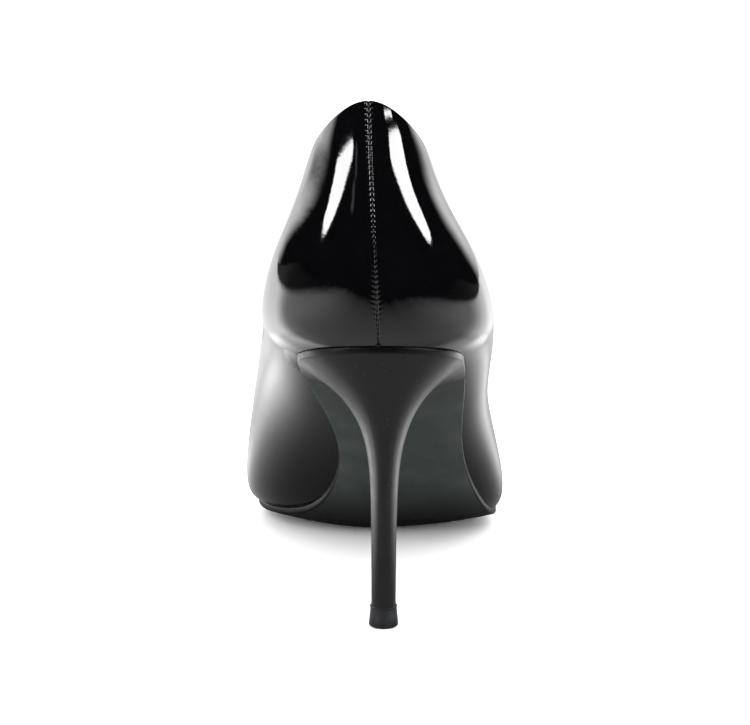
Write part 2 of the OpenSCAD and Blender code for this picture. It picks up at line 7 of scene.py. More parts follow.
import bmesh
import bpy
import numpy as np
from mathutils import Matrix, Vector


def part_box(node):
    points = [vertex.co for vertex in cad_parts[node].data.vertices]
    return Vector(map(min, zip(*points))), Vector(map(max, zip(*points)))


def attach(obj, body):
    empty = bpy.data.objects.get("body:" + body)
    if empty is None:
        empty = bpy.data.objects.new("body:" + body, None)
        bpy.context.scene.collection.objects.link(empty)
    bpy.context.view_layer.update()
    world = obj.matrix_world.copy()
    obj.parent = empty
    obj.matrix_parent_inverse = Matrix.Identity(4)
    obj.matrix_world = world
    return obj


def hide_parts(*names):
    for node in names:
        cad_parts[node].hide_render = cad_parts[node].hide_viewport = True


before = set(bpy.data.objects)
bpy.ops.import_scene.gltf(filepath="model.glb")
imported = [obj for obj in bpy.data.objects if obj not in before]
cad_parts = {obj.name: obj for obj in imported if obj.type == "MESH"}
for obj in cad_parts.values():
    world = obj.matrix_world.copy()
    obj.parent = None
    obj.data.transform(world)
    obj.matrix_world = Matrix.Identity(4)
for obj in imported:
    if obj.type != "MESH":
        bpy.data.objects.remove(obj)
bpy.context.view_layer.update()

MM = 0.001
BODY = "root"

# ---- lines of the last, as in the CAD: B-spline ordinates 20 mm apart, from 40 mm behind the heel tip ----

STATION_PITCH, FIRST_STATION = 20.0, -40.0
LINES = {
    "seat_z": [95.5, 89, 82.5, 74.5, 62.5, 46, 28.5, 9.1, 5.2, 5.7, 6.6, 8.7, 11.5, 15.2, 20.2],
    "ridge_z": [186, 170.5, 151.5, 137, 125, 112, 95.5, 77.5, 60, 46, 35.5, 28, 21.5, 16.5, 12],
    "top_z": [181, 152, 138, 122, 106.5, 93, 80.5, 68.5, 58.5, 51.5, 48, 46, 44, 42, 40],
    "mid_x": [-1.5, -1.5, -1.2, -1, -1.4, -2.6, -3.8, -3.8, -3.6, -4.2, -5.2, -6.2, -7, -7.6, -8],
    "sole_in": [24, 24, 24, 23.5, 19, 11.5, 9.5, 18, 36, 42, 41.5, 39, 37, 35, 34],
    "sole_out": [24.5, 24.5, 24.5, 25.5, 26, 26.5, 29.5, 37.5, 43, 43, 41, 38.5, 36.5, 35, 34],
    "body_in": [36, 36.5, 37, 38, 41, 46.5, 46.5, 44.6, 43.5, 42.5, 41, 39.5, 38, 37, 36],
    "body_out": [36.5, 36.5, 37, 37.5, 38, 38.5, 41.7, 44.8, 44.6, 43.8, 41.5, 39.5, 38, 37, 36],
    "fullness": [1.3, 1.3, 1.3, 1.3, 1.28, 1.3, 1.4, 1.6, 1.8, 1.95, 2.05, 2.1, 2.1, 2.1, 2.1],
    "swell_in": [.07, .07, .07, .08, .13, .2, .18, .09, .05, .05, .06, .07, .08, .08, .08],
    "swell_out": [.07, .07, .07, .07, .08, .09, .08, .06, .05, .05, .06, .07, .08, .08, .08],
    "lean": [.04, .042, .046, .046, .042, .034, .022, .01, .003, 0, 0, 0, 0, 0, 0],
    "pinch_in": [.09, .09, .09, .08, .05, .02, 0, 0, 0, 0, 0, 0, 0, 0, 0],
    "pinch_out": [.13, .13, .13, .12, .08, .03, 0, 0, 0, 0, 0, 0, 0, 0, 0],
    "crown": [0, 0, 0, 0, 0.5, 2, 3.4, 4.3, 4.6, 4.4, 4, 3.5, 3, 2.5, 2],
}
HEEL_PITCH = 8.0
HEEL_LINES = {
    "half_w": [33, 25.5, 14, 7.9, 5.2, 4.1, 3.7, 3.5, 3.4, 3.38, 3.35, 3.35, 3.35],
    "back": [32.5, 25.9, 18.5, 14, 11.4, 9.5, 8, 6.8, 5.8, 5, 4.4, 4, 4],
    "front": [29.5, 22.3, 14.5, 10.4, 7.4, 5.6, 4.7, 4.3, 4.1, 4, 3.9, 3.8, 3.8],
}
BACK_LEN, BACK_POWER = 26.0, 2.5
BULGE, BULGE_RISE, BULGE_FALL, BULGE_TUCK = 4.0, 14.0, 28.0, 0.07     # how the counter swells behind
PINCH_AT, PINCH_SPREAD = 0.65, 0.2     # where up the section the sides are drawn in, and how widely
TOE_Y, TOE_R, TOE_SPREAD, TOE_CAP, TOE_POWER = 204.0, 4.0, 0.55, 30.0, 2.5
TOE_WIDER, TOE_MARGIN, TOE_MARGIN_LEN = 1.03, 1.0, 8.0     # how far the body stands outside the sole there
BLEND_POWER = 6     # how tightly two half widths are rounded into one

# Thicknesses, gaps, and the ends of the layers, as in the CAD
UPPER_T, LINING_T, OUTSOLE_T = 1.2, 0.8, 2.2
TAPE_OUT, LINING_OUT = 1.22, 2.25
LINING_IN = LINING_OUT + LINING_T
BOTTOM_GAP = 0.12
MARGIN_W = 11.0
INSOLE_T, SHANK_BOARD_T, HEEL_PAD_T, BALL_PAD_T, SOCK_T = 1.0, 0.9, 1.2, 1.6, 0.7
SHANK_END, FADE, HEEL_PAD_END, BALL_START, BALL_END = 88.0, 8.0, 38.0, 102.0, 150.0
BREAST_Y, BREAST_HOLLOW, BREAST_ANGLE, SEAT_INSET, COVER_T = 22.0, 2.5, 140.0, 0.3, 0.55
OVAL_DEPTH, LEVEL_DEPTH = 24.0, 40.0


def b_spline(row, x, first, pitch):
    """Value at x of a uniform cubic B-spline whose ordinates start at first and stand pitch apart."""
    row = np.asarray(row, float)
    u = (np.asarray(x, float) - first) / pitch
    i = np.clip(np.floor(u).astype(int), 1, len(row) - 3)
    f = u - i
    return ((1 - f) ** 3 * row[i - 1] + (3 * f ** 3 - 6 * f ** 2 + 4) * row[i]
            + (-3 * f ** 3 + 3 * f ** 2 + 3 * f + 1) * row[i + 1] + f ** 3 * row[i + 2]) / 6


def line(name, s):
    return b_spline(LINES[name], s, FIRST_STATION, STATION_PITCH)


def seat(s):
    return line("seat_z", s)


def mix(a, b, share):
    return a + (b - a) * share


def smooth(x):
    c = np.clip(x, 0, 1)
    return c * c * (3 - 2 * c)


def soft_min(a, b):
    return (a ** -BLEND_POWER + np.maximum(b, 1e-6) ** -BLEND_POWER) ** (-1 / BLEND_POWER)


def vault(s):
    """Height of the last above the feather edge."""
    nose = np.clip(1 - (TOE_Y - s) / TOE_CAP, 0, 1)
    return (line("ridge_z", s) - seat(s)) * np.sqrt(1 - nose ** TOE_POWER)


def find_throat():
    """Station where the topline meets the ridge: the foot opening ends there."""
    low, high = 60.0, 170.0
    for _ in range(50):
        middle = (low + high) / 2
        if line("top_z", middle) < line("ridge_z", middle):
            low = middle
        else:
            high = middle
    return low


THROAT = find_throat()


def half_widths(s, side):
    """Half widths of the sole and of the body, both rounded off round the toe."""
    ahead = np.maximum(TOE_Y - s, 0)
    toe = np.sqrt(2 * TOE_R * ahead + (TOE_SPREAD * ahead) ** 2)
    inner = side < 0
    sole = soft_min(np.where(inner, line("sole_in", s), line("sole_out", s)), toe)
    body = soft_min(np.where(inner, line("body_in", s), line("body_out", s)),
                    TOE_WIDER * toe + TOE_MARGIN - np.exp(-ahead / TOE_MARGIN_LEN))
    return sole, body


# Columns are numbered 0 at the back seam, 1 where the sides begin, 2 at the throat and 3 at the toe's tip.
THROAT_COL, TIP_COL = 2.0, 3.0
QUARTER_END, LINING_END = 1 + 9 / 21, 2 + 11 / 14
LINING_SLIT = 0.002    # share of a column between the two linings
SIDE_PACKING = 1.4     # above 1, the columns of the sides stand closer together toward the throat


def column_station(g):
    """The station of a column: its distance ahead of the heel tip."""
    g = np.asarray(g, float)
    back = -BACK_LEN * np.cos(np.clip(g, 0, 1) * np.pi / 2)
    side = THROAT * (1 - np.abs(np.clip(2 - g, 0, 1)) ** SIDE_PACKING)
    toe = TOE_Y - (TOE_Y - THROAT) * (TIP_COL - np.clip(g, 2, 3)) ** 2
    return np.where(g <= 1, back, np.where(g <= 2, side, toe))


def station_column(s):
    """The column of a station between the end of the back and the tip of the toe."""
    if s <= THROAT:
        return THROAT_COL - (1 - s / THROAT) ** (1 / SIDE_PACKING)
    return TIP_COL - ((TOE_Y - s) / (TOE_Y - THROAT)) ** 0.5


def cut_angle(g, drop):
    """Angle up the section of the topline, or of the ridge where the upper is closed. drop lowers it."""
    s = column_station(g)
    share = (line("top_z", s) - drop - seat(s)) / np.maximum(vault(s), 0.01)
    return np.where(g >= THROAT_COL - 1e-9, np.pi / 2, np.arcsin(np.clip(share, 0, 1)))


def skin(g, angle, side):
    """Point of the outer surface. side is -1 for the inner side of the foot and 1 for the outer side."""
    g, angle, side = np.broadcast_arrays(np.asarray(g, float), angle, side)
    s = column_station(np.abs(g))
    t = np.sin(angle)
    h = vault(s) * t
    q = np.maximum(0, -s / BACK_LEN) ** BACK_POWER
    way = np.where(g < 0, -side, side) * np.where(np.cos(angle) < -1e-9, -1, 1)
    swell = np.exp(-t / np.where(side < 0, line("swell_in", s), line("swell_out", s)))
    sole, body = half_widths(s, side)
    half_w = mix(body, sole, swell) * np.sqrt(np.maximum(1 - np.maximum(t, 0) ** line("fullness", s), 0))
    pinch = np.where(side < 0, line("pinch_in", s), line("pinch_out", s))
    pinch = pinch * np.exp(-((t - PINCH_AT) / PINCH_SPREAD) ** 2)
    half_w = half_w * np.sqrt(np.maximum(1 - q, 0)) * (1 - pinch)
    bulge = BULGE + BULGE_RISE * t - BULGE_FALL * t * t - BULGE * np.exp(-t / BULGE_TUCK)
    return np.stack([line("mid_x", s) + way * half_w - line("lean", s) * h, s - bulge * q, seat(s) + h], -1)


def unit(v):
    return v / np.maximum(np.linalg.norm(v, axis=-1, keepdims=True), 1e-9)


def normal(g, angle, side):
    """Outward unit normal of the outer surface."""
    g, angle, side = np.broadcast_arrays(np.asarray(g, float), angle, side)
    dg, da = 0.001, 0.004
    g_mid = np.minimum(g, TIP_COL - 0.004)
    along = skin(g_mid + dg, angle, side) - skin(g_mid - dg, angle, side)
    low = np.where(angle < da, angle, angle - da)
    up = skin(g_mid, angle + da, side) - skin(g_mid, low, side)
    n = unit(np.cross(along, up) * side[..., None])
    return np.where((g >= TIP_COL - 1e-6)[..., None], np.array([0.0, 1.0, 0.0]), n)


def bed(x, y):
    """Height of the bottom of the last, which sags below its feather edge toward the middle."""
    off = x - line("mid_x", y)
    sole, _ = half_widths(y, off)
    return seat(y) - line("crown", y) * np.maximum(0, 1 - (off / np.maximum(0.1, sole)) ** 2)


def edge(g, side, inset, rise):
    """Point of the bottom: inset from the feather edge, and rise above the bottom."""
    g, side, inset, rise = np.broadcast_arrays(np.asarray(g, float), side, inset, rise)
    p = skin(g, 0 * g, side)
    n = unit(normal(g, 0 * g, side)[..., :2])
    x = p[..., 0] - inset * n[..., 0]
    y = p[..., 1] - inset * n[..., 1]
    return np.stack([x, y, bed(x, y) + rise], -1)


def margin(g, side):
    """Width of the lasting margin turned in under the foot."""
    sole, _ = half_widths(column_station(g), side)
    return np.minimum(MARGIN_W, 0.5 * sole)


# ---- mesh helpers ----

def new_piece(name, points, faces, materials, replaced, face_material=None):
    """Makes a closed smooth mesh from millimetre points, merges shared corners, and rides it on the body.
    replaced names the CAD nodes that it stands for."""
    mesh = bpy.data.meshes.new(name)
    mesh.from_pydata([tuple(p) for p in np.asarray(points) * MM], [], [tuple(f) for f in faces])
    for m in materials:
        mesh.materials.append(m)
    if face_material is not None:
        mesh.polygons.foreach_set("material_index", np.asarray(face_material, np.int32))
    bm = bmesh.new()
    bm.from_mesh(mesh)
    bmesh.ops.remove_doubles(bm, verts=bm.verts, dist=2e-6)
    bmesh.ops.dissolve_degenerate(bm, edges=bm.edges, dist=1e-7)
    bmesh.ops.recalc_face_normals(bm, faces=bm.faces)
    bm.to_mesh(mesh)
    bm.free()
    mesh.polygons.foreach_set("use_smooth", np.ones(len(mesh.polygons), bool))
    obj = bpy.data.objects.new(name, mesh)
    bpy.context.scene.collection.objects.link(obj)
    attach(obj, BODY)
    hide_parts(*replaced)
    return obj


def sharpen(obj, degrees):
    """Marks edges sharper than an angle, so that shading breaks there."""
    limit = np.radians(degrees)
    bm = bmesh.new()
    bm.from_mesh(obj.data)
    for e in bm.edges:
        e.smooth = len(e.link_faces) != 2 or e.calc_face_angle(0) < limit
    bm.to_mesh(obj.data)
    bm.free()


def grid_faces(rows, cols, start=0, closed=False):
    """Faces of a grid of rows x cols points. A closed grid joins its last column to its first."""
    i, j = np.meshgrid(np.arange(rows - 1), np.arange(cols if closed else cols - 1), indexing="ij")
    n = (j + 1) % cols
    quad = np.stack([i * cols + j, i * cols + n, (i + 1) * cols + n, (i + 1) * cols + j], -1)
    return (quad.reshape(-1, 4) + start).tolist()


# ---- upper ----

ROLL = 0.6                     # radius of the folded topline
LINING_DROP = 0.9              # the lining ends this far below the topline
INNER_FOOT = 3.4               # the inside of a layer starts this far above the feather edge
TAPER_ROWS, TAPER_COLS = 0.12, 0.15     # share of the rows and of a column over which a lining closes up
WAVES_FADE = 6.0               # the waves of the leather fade out over this height above the feather edge
SEAM_FROM, SEAM_TO = 2.5, 2.0  # the stitches start and end this far from the ends of the seam
STITCH_PITCH, STITCH_R = 1.5, 0.17


def seam_relief(points, height):
    """Depth of the back seam, in millimetres: a narrow groove whose lips pucker between the stitches."""
    along = (height - SEAM_FROM) / STITCH_PITCH
    x = points[..., 0] - (line("mid_x", -BACK_LEN) - line("lean", -BACK_LEN) * height)
    near = np.where(points[..., 1] < 0, 1.0, 0.0)
    groove = 0.55 * np.exp(-(x / 0.28) ** 2)
    lips = 0.14 * np.exp(-((np.abs(x) - 0.7) / 0.35) ** 2)
    tug = 0.5 - 0.5 * np.cos(2 * np.pi * along)
    pucker = 0.13 * tug * np.exp(-((np.abs(x) - 0.72) / 0.3) ** 2)
    crease = 0.012 * np.cos(2 * np.pi * along + 2) * np.exp(-((np.abs(x) - 1.4) / 0.45) ** 2)
    return near * (groove - lips + pucker + crease)


def sheet_waves(points):
    """Slow unevenness of lasted patent leather, in millimetres along the normal."""
    x, y, z = points[..., 0], points[..., 1], points[..., 2]
    slow = np.sin(x / 5.1 + 0.7 * np.sin(z / 8.3)) * np.sin(z / 6.7 + y / 9.1 + 0.4)
    quick = np.sin(x / 2.3 + z / 3.9 + 1.1) * np.sin(y / 3.1 - z / 2.7)
    return 0.035 * slow + 0.008 * quick


def seam_columns():
    """Columns packed tightly beside the back seam, then widening round the heel and along the sides."""
    tight = np.linspace(0, 0.115, 34)
    back = np.linspace(0.115, 1, 42)[1:]
    side = 1 + np.linspace(0, 1, 90)[1:]
    toe = 2 + np.linspace(0, 1, 70)[1:]
    return np.concatenate([tight, back, side, toe])


def topline(g):
    """Along the edge of the topline, inner side then outer: outward normals, and the way off the edge."""
    order = np.concatenate([g[::-1], g[1:]])
    side = np.concatenate([-np.ones(len(g)), np.ones(len(g) - 1)])
    angle = cut_angle(order, ROLL)
    along = np.gradient(skin(order, angle, side), axis=0)
    along[0] = along[-1] = [1, 0, 0]
    n = normal(order, angle, side)
    off = unit(np.cross(n, unit(along)))
    return n, off * np.sign(off[len(g) - 1, 2])


def rolled_edge(base, side, steps, normals, off):
    """The folded topline: a half round from base, the top row of the outer face, toward the inner face."""
    count = len(base)
    pick = count - 1 + int(side) * np.arange(count)
    turn = np.pi * np.arange(1, steps) / steps
    up = np.sin(turn)[None, :, None] * off[pick][:, None]
    over = (1 - np.cos(turn))[None, :, None] * normals[pick][:, None]
    return base[:, None] + ROLL * (up - over)


def layer_face(g, rows, low, cut, depth, close, side, relief=False):
    """One face of a layer, from angle low to angle cut, at a depth below the outer surface. close brings
    its top rows nearer to that surface."""
    angle = mix(low[:, None], cut[:, None], rows[None, :])
    p = skin(g[:, None], angle, side)
    depth = depth - close * np.clip(1 - (1 - rows[None, :]) / TAPER_ROWS, 0, 1)
    if relief:
        height = p[..., 2] - seat(column_station(g))[:, None]
        depth = depth + seam_relief(p, height) - sheet_waves(p) * smooth(height / WAVES_FADE)
    return p - depth[..., None] * normal(g[:, None], angle, side)


def layer(g, outer_rows, inner_rows, out, inn, foot, roll_steps=0, taper=0.0, relief=False):
    """Points and faces of a layer of the upper, both sides, from column g[0] to g[-1]. Its faces lie out
    and inn below the outer surface, and foot holds both heights of its margin above the bottom."""
    open_g = g[g <= THROAT_COL + 1e-9]
    roof = vault(column_station(g))
    cut = cut_angle(g, ROLL if roll_steps else LINING_DROP)
    foot_angle = np.arcsin(np.minimum(0.7, INNER_FOOT / np.maximum(roof, 0.01)))
    start = foot_angle if out > 0 else np.zeros_like(foot_angle)
    close = np.clip((THROAT_COL + TAPER_COLS - g) / TAPER_COLS, 0, 1)[:, None] * taper
    low, high = np.minimum(foot[0], 0.25 * roof), np.minimum(foot[1], 0.4 * roof)
    points, faces = [], []
    for side in (-1.0, 1.0):
        outer = layer_face(g, outer_rows, start, cut, out, close, side, relief)
        inner = layer_face(g, inner_rows[::-1], foot_angle, cut, inn, close, side)
        parts = [edge(g, side, out, low)[:, None], outer]
        if roll_steps:
            curl = rolled_edge(outer[:len(open_g), -1], side, roll_steps, *topline(open_g))
            parts.append(np.concatenate([curl, np.repeat(curl[-1:], len(g) - len(open_g), axis=0)]))
        turn_in = inn + margin(g, side)
        parts += [inner, edge(g, side, inn, high)[:, None], edge(g, side, turn_in, high)[:, None],
                  edge(g, side, turn_in, low)[:, None]]
        ring = np.concatenate(parts, axis=1)
        rows, size = ring.shape[:2]
        first = len(points)
        quads = np.array(grid_faces(rows, size, first, closed=True)).reshape(rows - 1, size, 4)
        closed_rows = range(len(outer_rows), len(outer_rows) + max(roll_steps, 1))
        for i in range(rows - 1):
            for j in range(size):
                if j not in closed_rows or g[i] < THROAT_COL - 1e-6:
                    faces.append(quads[i, j].tolist())
        for has_end, at in ((g[0] > 1e-6, 0), (g[-1] < TIP_COL - 1e-6, rows - 1)):
            if has_end:
                faces.append([first + at * size + j for j in range(size)])
        points.extend(ring.reshape(-1, 3).tolist())
    return points, faces


def upper():
    g = seam_columns()
    outer_rows = np.linspace(0, 1, 330)
    inner_rows = np.linspace(0, 1, 40)
    points, faces = layer(g, outer_rows, inner_rows, 0.0, UPPER_T, (0, UPPER_T), roll_steps=8, relief=True)
    new_piece("upper", points, faces, [patent_leather()], ["upper"])


def lining(name, start, end):
    g = np.linspace(start, end, 90)
    if start < THROAT_COL < end:
        g = np.sort(np.append(g, THROAT_COL))
    rows = np.linspace(0, 1, 50)
    foot = (UPPER_T + BOTTOM_GAP, UPPER_T + BOTTOM_GAP + LINING_T)
    points, faces = layer(g, rows, rows, LINING_OUT, LINING_IN, foot, taper=LINING_OUT - TAPE_OUT)
    piece = new_piece(name, points, faces, [lining_leather()], [name])
    sharpen(piece, 50)


def seam_stitches():
    """The thread of the back seam: short bowed stitches down in the groove."""
    top = line("top_z", -BACK_LEN) - seat(-BACK_LEN) - SEAM_TO
    count = int((top - SEAM_FROM) / STITCH_PITCH)
    steps, around = 7, 8
    across = np.array([1.0, 0.0, 0.0])
    turn = 2 * np.pi * np.arange(around) / around
    points, faces = [], []
    for k in range(count):
        u = np.linspace(0, 1, steps)
        h = SEAM_FROM + (k + 0.5) * STITCH_PITCH + (u - 0.5) * 0.8 * STITCH_PITCH
        a = np.arcsin(h / vault(-BACK_LEN))
        n = normal(0.0, a, 1.0)
        path = skin(0.0, a, 1.0) - (0.3 + 0.35 * (2 * u - 1)[:, None] ** 2) * n
        size = STITCH_R * np.sqrt(np.maximum(1 - (2 * u - 1) ** 6, 0.15))
        ring = path[:, None] + size[:, None, None] * (np.cos(turn)[None, :, None] * across
                                                      + np.sin(turn)[None, :, None] * n[:, None])
        first = len(points)
        points.extend(ring.reshape(-1, 3).tolist())
        faces.extend(grid_faces(steps, around, first, closed=True))
        faces.append([first + i for i in range(around)])
        faces.append([first + (steps - 1) * around + i for i in range(around)])
    new_piece("back_seam_stitching", points, faces, [thread()], ["back_seam_stitching"])


# ---- bottom ----

SOLE_OVERHANG, SOLE_BEVEL = 0.15, 0.45
SOCK_GAP, SOCK_BEVEL, SOCK_SHORT = 0.15, 0.3, 8.0     # the sock ends this far short of the toe's tip


def plate(end, low, high, inset, bevel, columns=220, ground=False):
    """A plate that follows the bottom of the last from the back seam to column end, with rounded edges.
    Returns points, faces and a mask of the faces of its edge. low and high are heights above the bottom, as
    functions of y."""
    g = np.concatenate([np.linspace(0, 1, columns // 3), np.linspace(1, end, columns)[1:]])
    across, steps = 40, 5
    turn = np.linspace(0, np.pi / 2, steps)
    rings = []
    for side in (1.0, -1.0):
        y = edge(g, side, inset, 0)[:, 1]
        r = np.minimum(bevel, 0.45 * (high(y) - low(y)))
        sunk = [(1 - np.sin(a), 1 - np.cos(a)) for a in turn]
        over = [edge(g, side, inset + r * back, high(y) - r * down) for back, down in sunk]
        under = [edge(g, side, inset + r * back, low(y) + r * up) for up, back in sunk]
        rings.append(np.stack(over + under, 1))
    share = np.linspace(0, 1, across)[1:-1]
    right, left = rings

    def span(a, b, level):
        p = mix(a[:, None], b[:, None], share[None, :, None])
        p[..., 2] = bed(p[..., 0], p[..., 1]) + level(p[..., 1])
        return p

    over = span(left[:, 0], right[:, 0], high)
    under = span(right[:, -1], left[:, -1], low)
    ring = np.concatenate([over, right, under, left[:, ::-1]], axis=1)
    if ground:
        ring[..., 2] = np.maximum(ring[..., 2], 0)
    rows, size = ring.shape[:2]
    faces = grid_faces(rows, size, closed=True)
    on_edge = np.zeros((rows - 1, size), bool)
    first = over.shape[1]
    on_edge[:, first:first + 2 * steps - 1] = True
    second = first + 2 * steps + under.shape[1]
    on_edge[:, second:second + 2 * steps - 1] = True
    ends = [list(range(size)), list(range((rows - 1) * size, rows * size))]
    mask = np.concatenate([on_edge.ravel(), [True, True]]).astype(int)
    return ring.reshape(-1, 3), faces + ends, mask


def outsole():
    points, faces, mask = plate(TIP_COL, lambda y: -OUTSOLE_T + 0 * y, lambda y: 0 * y, -SOLE_OVERHANG,
                                SOLE_BEVEL, columns=320, ground=True)
    new_piece("outsole", points, faces, [sole_rubber(), edge_ink()], ["outsole"], mask)


def board_t(y):
    """Height that the shank board adds below the sock, faded out ahead of its end."""
    return (SHANK_BOARD_T + BOTTOM_GAP) * smooth((SHANK_END + 2 * FADE - y) / FADE)


def sock_low(y):
    """Height of the underside of the sock, which climbs over the boards and the pads."""
    board_top = UPPER_T + LINING_T + 2 * BOTTOM_GAP + INSOLE_T
    heel_pad = (HEEL_PAD_T + BOTTOM_GAP) * smooth((HEEL_PAD_END - y) / FADE)
    on_ball = smooth((y - BALL_START) / FADE) * smooth((BALL_END - y) / FADE)
    pads = heel_pad + (BALL_PAD_T + BOTTOM_GAP) * on_ball
    return board_top + BOTTOM_GAP + board_t(y) + pads + BOTTOM_GAP


def sock_lining():
    end = station_column(TOE_Y - SOCK_SHORT)
    inset = LINING_IN + SOCK_GAP
    points, faces, _ = plate(end, sock_low, lambda y: sock_low(y) + SOCK_T, inset, SOCK_BEVEL)
    new_piece("sock_lining", points, faces, [sock_leather()], ["sock_lining"])


# ---- heel ----

def heel_line(name, depth):
    return b_spline(HEEL_LINES[name], depth, -HEEL_PITCH, HEEL_PITCH)


def breast_column(side):
    """Column where the rim of the heel seat reaches the breast."""
    low, high = 1.0, 1.6
    for _ in range(40):
        middle = (low + high) / 2
        if edge(middle, side, SEAT_INSET, 0.0)[1] < BREAST_Y:
            low = middle
        else:
            high = middle
    return low


def heel_rim(side_points, breast_points):
    """Points round the top of the heel, each with its angle on the oval section below."""
    sides = []
    for side in (-1.0, 1.0):
        u = np.linspace(0, 1, side_points)
        p = edge(u * breast_column(side), side, SEAT_INSET, 0.0)[:, :2]
        sides.append((p, -90 + side * BREAST_ANGLE * u))
    (inner, a_in), (outer, a_out) = sides
    u = np.linspace(0, 1, breast_points)[1:-1]
    breast = mix(inner[-1], outer[-1], u[:, None])
    breast[:, 1] -= BREAST_HOLLOW * 4 * u * (1 - u)
    a_breast = mix(a_in[-1] + 360, a_out[-1], u)
    p = np.concatenate([inner, breast, outer[::-1][:-1]])
    angle = np.concatenate([a_in, a_breast, a_out[::-1][:-1]])
    middle = (inner[-1][0] + outer[-1][0]) / 2
    return p, np.radians(angle), middle


def heel_skin(rim, depth, inset, heel_top, heel_len):
    """Points of the heel at each depth below its seat, inset from its outside."""
    p, angle, middle = rim
    d = depth[:, None]
    half_w = heel_line("half_w", d) - inset
    back, front = heel_line("back", d) - inset, heel_line("front", d) - inset
    oval = smooth(d / OVAL_DEPTH)
    level = 1 - (1 - np.minimum(1, d / LEVEL_DEPTH)) ** 2
    mid = mix(middle, 0, smooth(d / heel_len))
    full_x = (p[:, 0] - middle) / heel_line("half_w", 0.0)
    full_y = np.where(p[:, 1] < 0, p[:, 1] / BACK_LEN, p[:, 1] / BREAST_Y)
    ux = mix(full_x[None], np.cos(angle)[None], oval)
    uy = mix(full_y[None], np.sin(angle)[None], oval)
    y = uy * np.where(uy < 0, back, front)
    z = mix(seat(y) - OUTSOLE_T, heel_top, level) - d
    return np.stack([mid + ux * half_w, y, z], -1)


SIDE_SPANS, BREAST_SPANS, DEPTH_SPANS = 9, 6, 20     # spans of the flat-faced block inside the covering
FINE_SIDE, FINE_BREAST, FINE_DEPTH = 8, 10, 6        # and points of the covering to each of them
DEPTH_PACKING = 1.6    # above 1, the levels stand closer together near the seat
COVER_SWELL = 0.3      # the covering stands this much proud of the CAD's, so that no facet comes through


def over_block(smooth_skin):
    """Keeps the covering outside the block: where it is hollow, it follows the chords between the block's
    points."""
    rows, size = smooth_skin.shape[:2]
    side, across = SIDE_SPANS * FINE_SIDE, BREAST_SPANS * FINE_BREAST
    posts = np.concatenate([np.arange(0, side, FINE_SIDE), np.arange(side, side + across, FINE_BREAST),
                            np.arange(side + across, size + 1, FINE_SIDE)])
    levels = np.arange(0, rows, FINE_DEPTH)
    block = smooth_skin[levels][:, posts % size]
    chords = np.empty_like(smooth_skin)
    for axis in range(3):
        spans = np.stack([np.interp(np.arange(size), posts, row) for row in block[:, :, axis]])
        columns = [np.interp(np.arange(rows), levels, column) for column in spans.T]
        chords[:, :, axis] = np.stack(columns, axis=1)
    centre = chords.mean(axis=1, keepdims=True)
    further = np.linalg.norm(chords - centre, axis=-1) > np.linalg.norm(smooth_skin - centre, axis=-1)
    return np.where(further[..., None], chords, smooth_skin)


def heel_cover():
    top_piece_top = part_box("top_piece")[1].z / MM
    heel_top = float(seat(0.0)) - OUTSOLE_T
    heel_len = heel_top - top_piece_top
    depth = heel_len * np.linspace(0, 1, DEPTH_SPANS * FINE_DEPTH + 1) ** DEPTH_PACKING
    rim = heel_rim(SIDE_SPANS * FINE_SIDE + 1, BREAST_SPANS * FINE_BREAST + 1)
    outer = over_block(heel_skin(rim, depth, -COVER_SWELL, heel_top, heel_len))
    inner = over_block(heel_skin(rim, depth, COVER_T, heel_top, heel_len))
    shell = np.concatenate([outer, inner[::-1], outer[:1]])
    rows, size = shell.shape[:2]
    faces = grid_faces(rows, size, closed=True)
    piece = new_piece("heel_cover", shell.reshape(-1, 3), faces, [heel_wrap()], ["heel_cover"])
    sharpen(piece, 40)


def lathe(profile, around):
    """Points and faces of a closed profile of (radius, height) pairs turned round the heel tip's axis."""
    turn = 2 * np.pi * np.arange(around) / around
    profile = np.asarray(profile, float)
    ring = np.stack([profile[:, None, 0] * np.cos(turn)[None], profile[:, None, 0] * np.sin(turn)[None],
                     np.repeat(profile[:, 1:], around, axis=1)], -1)
    ring = np.concatenate([ring, ring[:1]])
    return ring.reshape(-1, 3), grid_faces(len(ring), around, closed=True)


TREAD_R, LIP_R = 0.9, 0.28      # roundings of the top piece at the ground and at its neck
NECK_SHARE = 0.875              # radius of its neck over the radius of its tread
PIN_GAP, AXIS_R = 0.02, 0.01


def top_piece():
    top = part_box("top_piece")[1]
    pin_low, pin_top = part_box("top_piece_pin")
    r, h = top.x / MM, top.z / MM
    pin_r, pin_z = pin_top.x / MM + PIN_GAP, pin_low.z / MM
    neck = NECK_SHARE * r
    turn = np.linspace(0, 1.45, 7)
    tread = [(r - TREAD_R + TREAD_R * np.sin(a), TREAD_R - TREAD_R * np.cos(a)) for a in turn]
    wall = [(mix(r, neck, 0.5) + 0.06, 0.5 * h), (neck + 0.12, h - 1.1), (neck + 0.13, h - 0.75)]
    turn = np.linspace(-0.5, np.pi / 2, 6)
    lip = [(neck + LIP_R * np.cos(a), h - LIP_R + LIP_R * np.sin(a)) for a in turn]
    bore = [(pin_r, h), (pin_r, pin_z), (AXIS_R, pin_z)]
    points, faces = lathe([(AXIS_R, 0)] + tread + wall + lip + bore, 96)
    piece = new_piece("top_piece", points, faces, [top_piece_rubber()], ["top_piece"])
    sharpen(piece, 40)


# ---- materials ----

